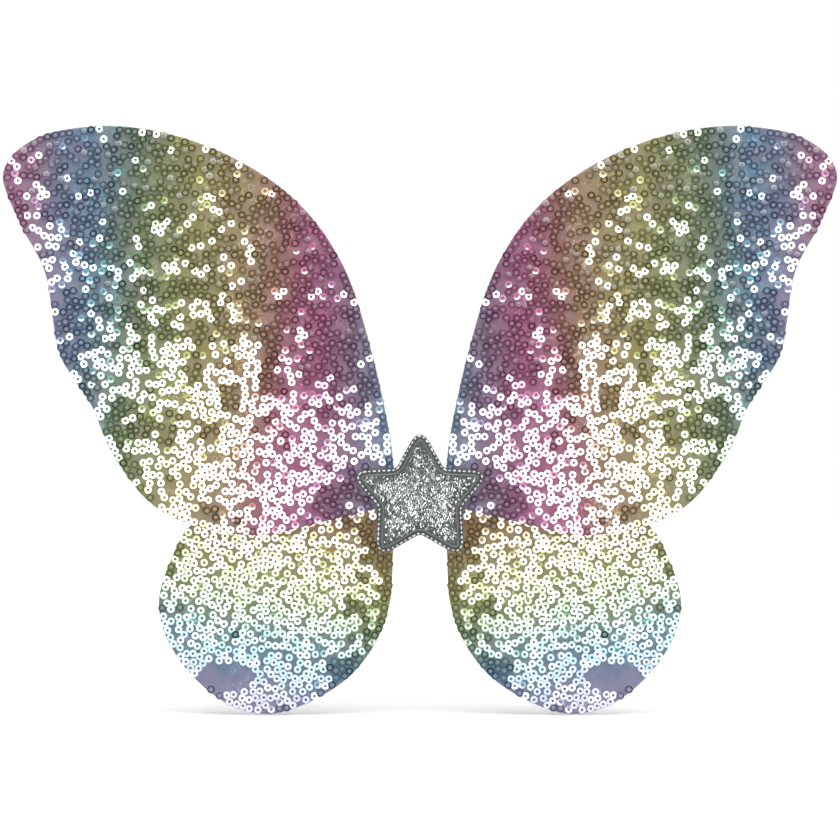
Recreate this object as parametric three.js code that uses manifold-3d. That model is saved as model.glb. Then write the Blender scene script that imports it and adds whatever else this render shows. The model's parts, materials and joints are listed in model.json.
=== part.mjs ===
// Sequined fairy wings for a child: a left and a right wing, each an upper and a lower lobe of mesh
// cloth stretched over a wire loop, joined at the centre by a padded star in front and a felt pad
// behind, with an elastic loop for each arm.
//
// Millimetres, +Z up, +X to the wearer's left. -Y is the show side with the star, and +Y is the
// wearer's side. The origin is the middle of the pad face that lies on the wearer's back.
// Each wing is made on the +X side, and the other one is its mirror image.

import * as THREE from "three";
import { mergeVertices } from "three/addons/utils/BufferGeometryUtils.js";
import Module from "manifold-3d";

const wasm = await Module();
wasm.setup();

// Driving dimensions.
const UPPER_REACH = 233.5; // from the wing's inner edge out to the tip of the upper lobe
const UPPER_RISE = 245; // from the lowest to the highest point of the upper lobe
const UPPER_FOOT = -21; // height of the upper lobe's lowest point
const LOWER_REACH = 140.5;
const LOWER_RISE = 128.5;
const LOWER_FOOT = -128.5;
const INNER_EDGE = 16.5; // from the centre plane to the wing's inner edge

const GAP = 0.3; // between pieces that lie on each other
const WIRE_DIAMETER = 2;
const FRONT_CLOTH = 0.7; // mesh with its sequins lying flat
const BACK_CLOTH = 0.5;
const HEM_WALL = 0.7;
const HEM_SLACK = 0.8; // between the wire and the hem's fold

const FOLD_LINE = 15.5; // from the centre plane to the line that a wing and its strap turn about
const FOLD_ROOM = 0.6; // from the fold line to anything that ends at it

// One half of the star before its corners are rounded, as distances out and up from its centre.
const STAR_CORNERS = [
  [0, 44.7], // top point
  [14.4, 18.6],
  [43.1, 17.2], // arm
  [25, -4.4],
  [26.7, -35.6], // leg
  [0, -20.5],
];
const STAR_TIP_CUT = 13; // how far along each side the rounding of a point starts
const STAR_NOTCH_CUT = 3;
const STAR_ROUNDING_REACH = 20; // the distance inwards over which the rounding dies out
const STAR_BACKING = 1.2;
const STAR_CLOTH = 0.8;
const STAR_PADDING = 2.8;
const STAR_PADDING_INSET = 5; // from the star's edge to its padding
const OUTER_CORD = 1.4;
const OUTER_CORD_INSET = 0.1;
const INNER_CORD = 1.2;
const INNER_CORD_INSET = 2.5;

const PAD_WIDTH = 26;
const PAD_HEIGHT = 40;
const PAD_CORNER = 7;
const PAD_THICKNESS = 3;
const PLATE_THICKNESS = 1;
const CORE_WIDTH = 24;
const CORE_HEIGHT = 38;
const CORE_CORNER = 5;

const STRAP_WIDTH = 10;
const STRAP_THICKNESS = 1;
const STRAP_ROOT_HEIGHT = 13; // centre of each sewn end above or below the middle
const STRAP_LOOP_CENTRE = 65; // from the centre plane
const STRAP_LOOP_HALF_WIDTH = 43.5;
const STRAP_LOOP_HALF_HEIGHT = 62;
const STRAP_TAB_LENGTH = 10;

const UPPER_TAIL_HEIGHT = 11; // where a lobe's wire ends turn in to the centre
const LOWER_TAIL_HEIGHT = -13;
const TAIL_LENGTH = 12;
const TAIL_OPENING = 10; // length of the inner edge that is left without a hem for the tail
const TURN_IN = 3; // radius of the bend where a wire end leaves the edge

const TACK_HEAD = 3.2;
const TACK_HEAD_THICKNESS = 0.4;
const TACK_STEM = 1.2;
const OUTER_TACK = [112, -12.5];
const INNER_TACK = [58, -7];

const LABEL_WIDTH = 14;
const LABEL_LENGTH = 24;
const LABEL_THICKNESS = 0.3;
const LABEL_PLACE = [44, -62];

// The outlines, anticlockwise from the inner edge as seen with +X to the right and +Z up: each
// point is a share of the reach outwards and a share of the rise upwards.
const UPPER_LOBE = [
  [0.002, 0.074], [0.06, 0.06], [0.195, 0.028], [0.335, 0], [0.485, 0.016],
  [0.615, 0.072], [0.722, 0.204], [0.772, 0.314], [0.853, 0.437], [0.872, 0.523],
  [0.893, 0.645], [0.962, 0.772], [1, 0.89], [0.923, 0.967], [0.752, 1],
  [0.572, 0.98], [0.379, 0.907], [0.229, 0.799], [0.122, 0.648], [0.058, 0.461],
  [0.019, 0.302], [0, 0.188],
];
const LOWER_LOBE = [
  [0.004, 0.968], [0, 0.72], [0.014, 0.502], [0.089, 0.3], [0.225, 0.136],
  [0.502, 0], [0.68, 0.032], [0.836, 0.152], [0.964, 0.346], [1, 0.518],
  [0.95, 0.712], [0.858, 0.884], [0.68, 0.962], [0.382, 0.992], [0.167, 1],
];

// Depths of the layers, each one in front of the last. Front is -Y.
const WIRE_LAYER = WIRE_DIAMETER + 2 * GAP;
const TAB_REAR = -PAD_THICKNESS - GAP;
const PLATE_REAR = TAB_REAR - STRAP_THICKNESS - GAP;
const TURN_DEPTH = TAB_REAR - STRAP_THICKNESS / 2;
const LOWER_LOBE_REAR = PLATE_REAR - GAP;
const LOBE_DEPTH = BACK_CLOTH + WIRE_LAYER + FRONT_CLOTH + 2 * GAP;
const UPPER_LOBE_REAR = LOWER_LOBE_REAR - LOBE_DEPTH - GAP;
const CORE_REAR = PLATE_REAR - PLATE_THICKNESS - GAP;
const BACKING_REAR = UPPER_LOBE_REAR - LOBE_DEPTH - GAP;
const STAR_REAR = BACKING_REAR - STAR_BACKING - GAP;
const CORD_REAR = STAR_REAR - STAR_CLOTH - GAP;

// Materials.
function material(hex, roughness, metalness = 0) {
  return new THREE.MeshStandardMaterial({ color: hex, roughness, metalness });
}
const SEQUINED_MESH = material(0xb9a58a, 0.35, 0.3);
const PLAIN_MESH = material(0xbdb4bd, 0.8);
const STEEL_WIRE = material(0xc9c9cc, 0.35, 0.9);
const SILVER_CLOTH = material(0x9a9da0, 0.3, 0.8);
const SILVER_CORD = material(0xb4b6b8, 0.35, 0.7);
const GREY_FELT = material(0x8f9092, 0.95);
const WADDING = material(0xf2f2ee, 1);
const BOARD = material(0xd8d5cc, 0.8);
const FOAM = material(0x77787a, 0.9);
const WHITE_ELASTIC = material(0xf0eff0, 0.85);
const THREAD = material(0xc9c2c9, 0.7);
const SATIN = material(0xf7f6f4, 0.5);

function named(name, geometry, look) {
  const mesh = new THREE.Mesh(geometry, look);
  mesh.name = name;
  return mesh;
}

// A flat piece: its outline stands in the XZ plane, and it reaches forwards from rear.
function slab(outer, rear, thickness, hole = null) {
  const shape = new THREE.Shape(outer);
  if (hole) shape.holes.push(new THREE.Path(hole));
  const settings = { depth: thickness, bevelEnabled: false, steps: 1 };
  return new THREE.ExtrudeGeometry(shape, settings).rotateX(Math.PI / 2).translate(0, rear, 0);
}

// Joins and cuts are made on manifold-3d solids.
function toSolid(geometry) {
  const bare = geometry.clone();
  bare.deleteAttribute("normal");
  bare.deleteAttribute("uv");
  const merged = mergeVertices(bare, 1e-4);
  return new wasm.Manifold(
    new wasm.Mesh({
      numProp: 3,
      vertProperties: merged.attributes.position.array,
      triVerts: new Uint32Array(merged.index.array),
    }),
  );
}

function toGeometry(solid) {
  const mesh = solid.getMesh();
  return new THREE.BufferGeometry()
    .setAttribute("position", new THREE.BufferAttribute(mesh.vertProperties, 3))
    .setIndex(new THREE.BufferAttribute(mesh.triVerts, 1));
}

// Evenly spaced points round a smooth closed outline.
function smoothOutline(shares, reach, rise, foot, count) {
  const places = shares.map(
    ([out, up]) => new THREE.Vector3(INNER_EDGE + out * reach, foot + up * rise, 0),
  );
  const curve = new THREE.CatmullRomCurve3(places, true, "centripetal");
  const points = curve.getSpacedPoints(count).slice(0, -1);
  return points.map((p) => new THREE.Vector2(p.x, p.y));
}

// The same outline moved inwards, square to the line between each point's neighbours.
function inset(points, distance) {
  return points.map((p, i) => {
    const before = points.at(i - 1);
    const after = points[(i + 1) % points.length];
    const along = after.clone().sub(before).normalize();
    return new THREE.Vector2(p.x - along.y * distance, p.y + along.x * distance);
  });
}

// A closed outline as an open line that starts and ends at a gap in the inner edge.
function openedAt(points, height, gap) {
  const inGap = (p) => Math.abs(p.y - height) < gap / 2 && p.x < INNER_EDGE + 2 * TURN_IN;
  const last = points.findIndex((p, i) => inGap(p) && !inGap(points[(i + 1) % points.length]));
  const turned = [...points.slice(last + 1), ...points.slice(0, last + 1)];
  return turned.filter((p) => !inGap(p));
}

// A band between an open line and a copy of it.
function band(outer, inner) {
  return [...outer, ...[...inner].reverse()];
}

function roundWire(points, depth, steps) {
  const places = points.map((p) => new THREE.Vector3(p.x, depth, p.y));
  const path = new THREE.CatmullRomCurve3(places, false, "centripetal");
  const section = new THREE.Shape();
  section.absarc(0, 0, WIRE_DIAMETER / 2, 0, 2 * Math.PI);
  const settings = { steps, extrudePath: path, bevelEnabled: false, curveSegments: 4 };
  return new THREE.ExtrudeGeometry(section, settings);
}

// One lobe: back cloth, hem, wire loop and sequined front cloth, from the rear forwards.
function lobe(name, edge, rear, tailHeight, wireSteps, tackPlaces) {
  const group = new THREE.Group();
  const wireRear = rear - BACK_CLOTH - GAP;
  const wireDepth = wireRear - WIRE_LAYER / 2;
  const frontRear = wireRear - WIRE_LAYER - GAP;

  const cloth = (clothRear, thickness) => {
    const whole = toSolid(slab(edge, clothRear, thickness));
    const hole = (place) => {
      const drill = new THREE.CylinderGeometry(
        TACK_STEM / 2 + GAP, TACK_STEM / 2 + GAP, 4 * LOBE_DEPTH, 12,
      );
      return toSolid(drill.translate(place[0], clothRear, place[1]));
    };
    return toGeometry(tackPlaces.reduce((left, place) => left.subtract(hole(place)), whole));
  };
  group.add(named(`${name}_back_cloth`, cloth(rear, BACK_CLOTH), PLAIN_MESH));
  group.add(named(`${name}_front_cloth`, cloth(frontRear, FRONT_CLOTH), SEQUINED_MESH));

  const foldLine = openedAt(edge, tailHeight, TAIL_OPENING);
  const inside = inset(edge, HEM_WALL);
  const hemLine = foldLine.map((p) => inside[edge.indexOf(p)]);
  group.add(named(`${name}_hem`, slab(band(foldLine, hemLine), wireRear, WIRE_LAYER), PLAIN_MESH));

  const wireInset = HEM_WALL + HEM_SLACK + WIRE_DIAMETER / 2;
  const run = openedAt(inset(edge, wireInset), tailHeight, TAIL_OPENING);
  const strand = WIRE_DIAMETER / 2 + GAP / 2;
  const rising = run[0].y > tailHeight ? 1 : -1;
  const end = FOLD_LINE + FOLD_ROOM;
  const turned = (sign) => [
    new THREE.Vector2(end, tailHeight + sign * strand),
    new THREE.Vector2(end + TURN_IN / 2, tailHeight + sign * strand),
  ];
  const line = [...turned(rising), ...run, ...turned(-rising).reverse()];
  group.add(named(`${name}_wire`, roundWire(line, wireDepth, wireSteps), STEEL_WIRE));
  return group;
}

// A thread tack that goes through both lobes and ends in a knot on each side.
function tack(name, place) {
  const front = UPPER_LOBE_REAR - LOBE_DEPTH - GAP / 3;
  const rear = LOWER_LOBE_REAR + GAP / 3;
  const profile = [
    new THREE.Vector2(0, front - TACK_HEAD_THICKNESS),
    new THREE.Vector2(TACK_HEAD / 2, front - TACK_HEAD_THICKNESS / 2),
    new THREE.Vector2(TACK_HEAD / 2, front),
    new THREE.Vector2(TACK_STEM / 2, front),
    new THREE.Vector2(TACK_STEM / 2, rear),
    new THREE.Vector2(TACK_HEAD / 2, rear),
    new THREE.Vector2(TACK_HEAD / 2, rear + TACK_HEAD_THICKNESS / 2),
    new THREE.Vector2(0, rear + TACK_HEAD_THICKNESS),
  ];
  const geometry = new THREE.LatheGeometry(profile, 10).translate(place[0], 0, place[1]);
  return named(name, geometry, THREAD);
}

// The elastic loop: a ribbon standing on edge behind the wing, with a flat end at each root.
function strap(name) {
  const start = Math.PI - Math.asin(STRAP_ROOT_HEIGHT / STRAP_LOOP_HALF_HEIGHT);
  const steps = 40;
  const side = (away) =>
    Array.from({ length: steps + 1 }, (_, i) => {
      const angle = start - (2 * start * i) / steps;
      return new THREE.Vector2(
        STRAP_LOOP_CENTRE + (STRAP_LOOP_HALF_WIDTH + away) * Math.cos(angle),
        (STRAP_LOOP_HALF_HEIGHT + away) * Math.sin(angle),
      );
    });
  const half = STRAP_THICKNESS / 2;
  const rear = TURN_DEPTH + STRAP_WIDTH;
  const ribbon = toSolid(slab(band(side(half), side(-half)), rear, STRAP_WIDTH));
  const inner = FOLD_LINE - FOLD_ROOM / 2;
  const outer = STRAP_LOOP_CENTRE + STRAP_LOOP_HALF_WIDTH * Math.cos(start) + STRAP_WIDTH / 3;
  const root = (height) =>
    toSolid(
      new THREE.BoxGeometry(outer - inner, STRAP_THICKNESS, STRAP_WIDTH).translate(
        (outer + inner) / 2, TURN_DEPTH, height,
      ),
    );
  const whole = ribbon.add(root(STRAP_ROOT_HEIGHT)).add(root(-STRAP_ROOT_HEIGHT));
  return named(name, toGeometry(whole), WHITE_ELASTIC);
}

// The sewn end of a strap, held between the pad and the plate.
function strapTab(name, height) {
  const outer = FOLD_LINE - FOLD_ROOM - GAP;
  const box = new THREE.BoxGeometry(STRAP_TAB_LENGTH, STRAP_THICKNESS, STRAP_WIDTH);
  const middle = outer - STRAP_TAB_LENGTH / 2;
  return named(name, box.translate(middle, TURN_DEPTH, height), WHITE_ELASTIC);
}

// A lobe's two wire ends, laid together and glued into the core.
function wireTail(name, height, lobeRear) {
  const strand = WIRE_DIAMETER / 2;
  const section = new THREE.Shape();
  section.absarc(0, strand + GAP / 2, strand, 0, Math.PI);
  section.absarc(0, -strand - GAP / 2, strand, Math.PI, 2 * Math.PI);
  const settings = { depth: TAIL_LENGTH, bevelEnabled: false, curveSegments: 6 };
  const geometry = new THREE.ExtrudeGeometry(section, settings).rotateY(Math.PI / 2);
  const depth = lobeRear - BACK_CLOTH - GAP - WIRE_LAYER / 2;
  const outer = FOLD_LINE - FOLD_ROOM / 2;
  geometry.rotateX(Math.PI / 2).translate(outer - TAIL_LENGTH, depth, height);
  return named(name, geometry, STEEL_WIRE);
}

function careLabel(name) {
  const box = new THREE.BoxGeometry(LABEL_WIDTH, LABEL_THICKNESS, LABEL_LENGTH);
  const depth = LOWER_LOBE_REAR + GAP / 3 + LABEL_THICKNESS / 2;
  return named(name, box.translate(LABEL_PLACE[0], depth, LABEL_PLACE[1]), SATIN);
}

// Everything on one side, made at +X. Only the left side of the pair has the care label.
function sideOfPair(side) {
  const group = new THREE.Group();
  const upper = smoothOutline(UPPER_LOBE, UPPER_REACH, UPPER_RISE, UPPER_FOOT, 64);
  const lower = smoothOutline(LOWER_LOBE, LOWER_REACH, LOWER_RISE, LOWER_FOOT, 44);
  const tacks = [OUTER_TACK, INNER_TACK];
  group.add(lobe(`${side}_upper`, upper, UPPER_LOBE_REAR, UPPER_TAIL_HEIGHT, 64, tacks));
  group.add(lobe(`${side}_lower`, lower, LOWER_LOBE_REAR, LOWER_TAIL_HEIGHT, 48, tacks));
  group.add(tack(`${side}_outer_tack`, OUTER_TACK));
  group.add(tack(`${side}_inner_tack`, INNER_TACK));
  group.add(strap(`${side}_strap`));
  group.add(strapTab(`${side}_upper_strap_tab`, STRAP_ROOT_HEIGHT));
  group.add(strapTab(`${side}_lower_strap_tab`, -STRAP_ROOT_HEIGHT));
  group.add(wireTail(`${side}_upper_wire_tail`, UPPER_TAIL_HEIGHT, UPPER_LOBE_REAR));
  group.add(wireTail(`${side}_lower_wire_tail`, LOWER_TAIL_HEIGHT, LOWER_LOBE_REAR));
  return group;
}

// Where two lines cross, each given by a point and a direction.
function crossing(pointA, alongA, pointB, alongB) {
  const share = pointB.clone().sub(pointA).cross(alongB) / alongA.cross(alongB);
  return pointA.clone().addScaledVector(alongA, share);
}

// The corners of an anticlockwise outline with every side moved in by the same distance.
function insetCorners(corners, distance) {
  const sides = corners.map((corner, i) => {
    const along = corners[(i + 1) % corners.length].clone().sub(corner).normalize();
    const inwards = new THREE.Vector2(-along.y, along.x);
    return { point: corner.clone().addScaledVector(inwards, distance), along };
  });
  return sides.map((side, i) => {
    const before = sides.at(i - 1);
    return crossing(before.point, before.along, side.point, side.along);
  });
}

// The star's outline with every side moved in by the same distance.
function starOutline(distance) {
  const half = STAR_CORNERS.map(([x, z]) => new THREE.Vector2(-x, z));
  const otherHalf = half.slice(1, -1).reverse().map((corner) => new THREE.Vector2(-corner.x, corner.y));
  const corners = insetCorners([...half, ...otherHalf], distance);
  const rounding = 1 - distance / STAR_ROUNDING_REACH;
  return corners.flatMap((corner, i) => {
    const cut = (i % 2 ? STAR_NOTCH_CUT : STAR_TIP_CUT) * rounding;
    const towards = (other) => corner.clone().add(other.clone().sub(corner).setLength(cut));
    const from = towards(corners.at(i - 1));
    const to = towards(corners[(i + 1) % corners.length]);
    return new THREE.QuadraticBezierCurve(from, corner, to).getPoints(i % 2 ? 2 : 5);
  });
}

function star() {
  const group = new THREE.Group();
  const backing = slab(starOutline(0), BACKING_REAR, STAR_BACKING);
  group.add(named("star_backing", backing, GREY_FELT));
  const padding = slab(starOutline(STAR_PADDING_INSET), STAR_REAR, STAR_PADDING);
  group.add(named("star_padding", padding, WADDING));

  const pocketInset = STAR_PADDING_INSET - GAP;
  const pocket = slab(starOutline(pocketInset), STAR_REAR + 1, 1 + STAR_PADDING + GAP);
  const crown = slab(
    starOutline(pocketInset - STAR_CLOTH), STAR_REAR, STAR_PADDING + GAP + STAR_CLOTH,
  );
  const rim = slab(starOutline(0), STAR_REAR, STAR_CLOTH);
  const cover = toSolid(rim).add(toSolid(crown)).subtract(toSolid(pocket));
  group.add(named("star_cover", toGeometry(cover), SILVER_CLOTH));

  const cord = (distance, width) =>
    slab(starOutline(distance), CORD_REAR, width, starOutline(distance + width));
  group.add(named("star_outer_cord", cord(OUTER_CORD_INSET, OUTER_CORD), SILVER_CORD));
  group.add(named("star_inner_cord", cord(INNER_CORD_INSET, INNER_CORD), SILVER_CORD));
  return group;
}

function roundedRectangle(width, height, corner) {
  const shape = new THREE.Shape();
  const x = width / 2 - corner;
  const z = height / 2 - corner;
  shape.absarc(x, z, corner, 0, Math.PI / 2);
  shape.absarc(-x, z, corner, Math.PI / 2, Math.PI);
  shape.absarc(-x, -z, corner, Math.PI, 1.5 * Math.PI);
  shape.absarc(x, -z, corner, 1.5 * Math.PI, 2 * Math.PI);
  return shape.getPoints(5);
}

// The pieces behind the star: the foam core that holds the wires, the plate and the felt pad.
function centre() {
  const group = new THREE.Group();
  const padOutline = roundedRectangle(PAD_WIDTH, PAD_HEIGHT, PAD_CORNER);
  group.add(named("back_pad", slab(padOutline, 0, PAD_THICKNESS), GREY_FELT));
  group.add(named("centre_plate", slab(padOutline, PLATE_REAR, PLATE_THICKNESS), BOARD));

  const coreOutline = roundedRectangle(CORE_WIDTH, CORE_HEIGHT, CORE_CORNER);
  const coreFront = BACKING_REAR + GAP;
  const block = toSolid(slab(coreOutline, CORE_REAR, CORE_REAR - coreFront));
  const channel = (height, lobeRear) => {
    const depth = lobeRear - BACK_CLOTH - GAP - WIRE_LAYER / 2;
    const box = new THREE.BoxGeometry(
      CORE_WIDTH + 2, WIRE_DIAMETER + 2 * GAP, 2 * WIRE_DIAMETER + 3 * GAP,
    );
    return toSolid(box.translate(0, depth, height));
  };
  const core = block
    .subtract(channel(UPPER_TAIL_HEIGHT, UPPER_LOBE_REAR))
    .subtract(channel(LOWER_TAIL_HEIGHT, LOWER_LOBE_REAR));
  group.add(named("centre_core", toGeometry(core), FOAM));
  return group;
}

const wings = new THREE.Group();
const left = sideOfPair("left");
left.add(careLabel("care_label"));
const right = sideOfPair("right");
right.scale.x = -1;
wings.add(left, right, star(), centre());

export default wings;
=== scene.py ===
"""The looks of a pair of sequined fairy wings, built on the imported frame.

Metres, in the frame's own axes: +X to the wings' own left as they face the viewer, -Y the show
side, +Z up. Outlines and depths are read from the frame's nodes, and lengths that belong to the
looks are named below.
"""

import json
import math
import random

import bmesh
import bpy
import numpy as np
from mathutils import Matrix, Vector, noise
from mathutils.geometry import delaunay_2d_cdt


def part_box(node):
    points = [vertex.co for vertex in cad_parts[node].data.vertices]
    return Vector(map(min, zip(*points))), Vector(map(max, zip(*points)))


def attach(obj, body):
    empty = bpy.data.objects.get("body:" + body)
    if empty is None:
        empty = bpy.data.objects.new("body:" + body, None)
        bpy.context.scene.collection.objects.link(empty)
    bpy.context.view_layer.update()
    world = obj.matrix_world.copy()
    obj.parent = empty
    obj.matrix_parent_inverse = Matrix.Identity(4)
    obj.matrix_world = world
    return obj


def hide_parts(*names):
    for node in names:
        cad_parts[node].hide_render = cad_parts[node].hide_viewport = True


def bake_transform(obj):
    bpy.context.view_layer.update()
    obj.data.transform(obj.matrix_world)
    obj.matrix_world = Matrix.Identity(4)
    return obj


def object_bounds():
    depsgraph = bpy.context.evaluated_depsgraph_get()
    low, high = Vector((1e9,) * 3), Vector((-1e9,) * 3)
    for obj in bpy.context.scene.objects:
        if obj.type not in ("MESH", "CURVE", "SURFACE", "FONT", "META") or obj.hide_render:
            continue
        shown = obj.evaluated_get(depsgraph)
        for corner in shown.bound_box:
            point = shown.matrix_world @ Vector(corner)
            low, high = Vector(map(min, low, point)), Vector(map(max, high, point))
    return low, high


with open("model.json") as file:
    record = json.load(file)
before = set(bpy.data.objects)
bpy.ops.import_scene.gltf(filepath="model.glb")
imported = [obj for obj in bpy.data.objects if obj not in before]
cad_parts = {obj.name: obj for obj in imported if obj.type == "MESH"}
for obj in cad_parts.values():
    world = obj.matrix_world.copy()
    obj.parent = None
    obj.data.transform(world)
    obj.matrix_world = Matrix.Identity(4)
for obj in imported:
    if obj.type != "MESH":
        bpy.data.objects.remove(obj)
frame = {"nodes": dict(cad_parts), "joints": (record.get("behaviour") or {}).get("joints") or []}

MM = 0.001
SIDES = {"left": 1, "right": -1}
cad_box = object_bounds()

# Sequins: a flat ring with a turned-back rim, round a dull hub
SEQUIN_RADIUS = 2.45 * MM
SEQUIN_RIM = 2.26 * MM  # where the ring turns back
SEQUIN_BAND = 1.2 * MM  # inside radius of the ring's deeply coloured outer band
SEQUIN_HUB = 0.82 * MM
SEQUIN_HOLE = 0.12 * MM
RIM_DEPTH = 0.16 * MM
HUB_DEPTH = 0.12 * MM
SEQUIN_SIDES = 14
SEQUIN_GAP = 3.7 * MM  # no two sequins' centres are nearer
SEQUIN_STEP = (3.75 * MM, 4.8 * MM)  # along a line of sewing
SEQUIN_EDGE = 1.6 * MM  # from the lobe's outline to the centres of the outermost sequins
SEQUINS_PER_AREA = {"upper": 0.0385 / MM**2, "lower": 0.0425 / MM**2}

# Cloth and hem
HEM_RADIUS = 1.85 * MM
HEM_INSET = 1.75 * MM
CLOTH_STEP = 3.2 * MM
CLOTH_RISE = 1.8 * MM  # from the wire's depth to the cloth where it leaves the hem
CLOTH_DIP = 0.5 * MM  # how much flatter the cloth lies in the middle of a lobe
STITCH_INSET = 4.6 * MM
STITCH_LENGTH = 2.2 * MM
STITCH_PITCH = 3.4 * MM

# Star
STAR_PUFF = 4.6 * MM
STAR_RIM = 0.75 * MM  # thickness of the star's flat rim
CORD_INSET = 0.25 * MM
CORD_RADIUS = 0.3 * MM
BEAD_INSET = 0.9 * MM
BEAD_PITCH = 2.9 * MM
BEAD_LENGTH = 2.4 * MM
BEAD_WIDTH = 1.3 * MM
BRAID_INSET = 1.75 * MM
INNER_CORD_INSET = 3.3 * MM
INNER_CORD_RADIUS = 0.55 * MM
FLAKE_INSET = 4.4 * MM
FLAKE_SPACING = 0.96 * MM

# Strap
STRAP_RIBS = 7
STRAP_TWIST = 24 * MM  # length over which the ribbon turns from flat to on edge
STRAP_NECK = 6 * MM  # from the fold line to the near side of the loop's oval
STRAP_OPENING = 0.36  # half the angle of the oval that is left open at the root, in radians

# Back pad
PAD_STITCH_INSET = 3.2 * MM
PAD_STITCH_PITCH = 3.0 * MM
PAD_STITCH_LENGTH = 2.0 * MM

# Picture
CAMERA_DISTANCE = 2.4
FLOOR_REACH = 14.0


# ---------------------------------------------------------------- outlines and meshes


def outline_of(node):
    """The outer edge of a flat node's front face, as (x, z) points, anticlockwise from -Y."""
    mesh = frame["nodes"][node].data
    front = min(v.co.y for v in mesh.vertices)
    following = {}
    for face in mesh.polygons:
        corners = [mesh.vertices[i].co for i in face.vertices]
        if max(c.y for c in corners) > front + 1e-6:
            continue
        keys = [(round(c.x, 6), round(c.z, 6)) for c in corners]
        for a, b in zip(keys, keys[1:] + keys[:1]):
            following.setdefault(a, set()).add(b)
    edge = {}
    for a, nexts in following.items():
        for b in nexts:
            if a not in following.get(b, ()):
                edge[a] = b
    loops = []
    while edge:
        start = next(iter(edge))
        loop = [start]
        while loop[-1] in edge:
            loop.append(edge.pop(loop[-1]))
        loops.append(loop[:-1])
    points = np.array(max(loops, key=len))
    return points if area_of(points) > 0 else points[::-1]


def area_of(points):
    x, z = points[:, 0], points[:, 1]
    return 0.5 * float(np.sum(x * np.roll(z, -1) - np.roll(x, -1) * z))


def smooth_closed(points, step):
    """A smooth closed curve through the points, as evenly spaced points about step apart."""
    fine = []
    for p0, p1, p2, p3 in zip(*(np.roll(points, shift, 0) for shift in (1, 0, -1, -2))):
        t = np.linspace(0, 1, 12, endpoint=False)[:, None]
        fine.append(
            0.5 * (2 * p1 + (p2 - p0) * t + (2 * p0 - 5 * p1 + 4 * p2 - p3) * t**2
                   + (3 * p1 - p0 - 3 * p2 + p3) * t**3)
        )
    return evenly(np.concatenate(fine), step)


def evenly(points, step):
    """The same closed line, as evenly spaced points about step apart."""
    closed = np.vstack([points, points[:1]])
    along = np.concatenate([[0], np.cumsum(np.linalg.norm(np.diff(closed, axis=0), axis=1))])
    count = max(8, round(along[-1] / step))
    places = np.linspace(0, along[-1], count, endpoint=False)
    return np.column_stack([np.interp(places, along, closed[:, i]) for i in (0, 1)])


def inset(points, distance):
    """The outline moved inwards, square to its own direction."""
    along = np.roll(points, -1, 0) - np.roll(points, 1, 0)
    along /= np.linalg.norm(along, axis=1)[:, None]
    return points + distance * np.column_stack([-along[:, 1], along[:, 0]])


def distance_in(outline, places):
    """How far inside the outline each place lies, negative outside."""
    places = np.asarray(places, float).reshape(-1, 2)
    best = np.full(len(places), np.inf)
    inside = np.zeros(len(places), bool)
    for (ax, az), (bx, bz) in zip(outline, np.roll(outline, -1, 0)):
        ex, ez = bx - ax, bz - az
        px, pz = places[:, 0] - ax, places[:, 1] - az
        t = np.clip((px * ex + pz * ez) / (ex * ex + ez * ez), 0, 1)
        best = np.minimum(best, np.hypot(px - t * ex, pz - t * ez))
        crosses = (az > places[:, 1]) != (bz > places[:, 1])
        if ez:
            inside ^= crosses & (places[:, 0] < ax + (places[:, 1] - az) * ex / ez)
    return np.where(inside, best, -best)


class Inside:
    """How far inside an outline a place lies, negative outside, read quickly from a grid."""

    def __init__(self, outline, step=1 * MM, border=8 * MM):
        self.low = outline.min(0) - border
        self.step = step
        self.size = np.ceil((outline.max(0) + border - self.low) / step).astype(int) + 1
        columns, rows = np.meshgrid(np.arange(self.size[0]), np.arange(self.size[1]), indexing="ij")
        places = self.low + step * np.column_stack([columns.ravel(), rows.ravel()])
        self.grid = distance_in(outline, places).reshape(self.size)

    def __call__(self, places):
        at = (np.asarray(places, float).reshape(-1, 2) - self.low) / self.step
        at = np.clip(at, 0, self.size - 1.001)
        corner = at.astype(int)
        share = at - corner
        i, j = corner.T
        u, v = share.T
        g = self.grid
        return (
            g[i, j] * (1 - u) * (1 - v) + g[i + 1, j] * u * (1 - v)
            + g[i, j + 1] * (1 - u) * v + g[i + 1, j + 1] * u * v
        )


def new_object(name, data):
    """A new object in the scene."""
    obj = bpy.data.objects.new(name, data)
    bpy.context.scene.collection.objects.link(obj)
    return obj


def mesh_object(name, vertices, faces, smooth=True):
    mesh = bpy.data.meshes.new(name)
    mesh.from_pydata([tuple(v) for v in vertices], [], [tuple(f) for f in faces])
    mesh.validate()
    if smooth:
        mesh.shade_smooth()
    else:
        mesh.shade_flat()
    return new_object(name, mesh)


def filled(outline, step, edge_step, ring_insets=()):
    """Triangles that fill an outline: (places, faces). Rings of points can follow its edge."""
    rim = smooth_closed(outline, edge_step)
    rings = [inset(rim, distance) for distance in ring_insets]
    clear_of = max(ring_insets, default=0.0) + 0.6 * edge_step
    low, high = rim.min(0), rim.max(0)
    rows = np.arange(low[1], high[1], step * math.sqrt(0.75))
    grid = []
    for number, z in enumerate(rows):
        xs = np.arange(low[0] + (number % 2) * step / 2, high[0], step)
        grid.append(np.column_stack([xs, np.full(len(xs), z)]))
    grid = np.concatenate(grid)
    grid = grid[distance_in(rim, grid) > clear_of]
    places = np.vstack([rim, *rings, grid]) / MM
    edges = [(i, (i + 1) % len(rim)) for i in range(len(rim))]
    result = delaunay_2d_cdt([Vector(p) for p in places], edges, [], 1, 1e-6)
    return np.array([tuple(p) for p in result[0]]) * MM, result[2]


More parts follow.
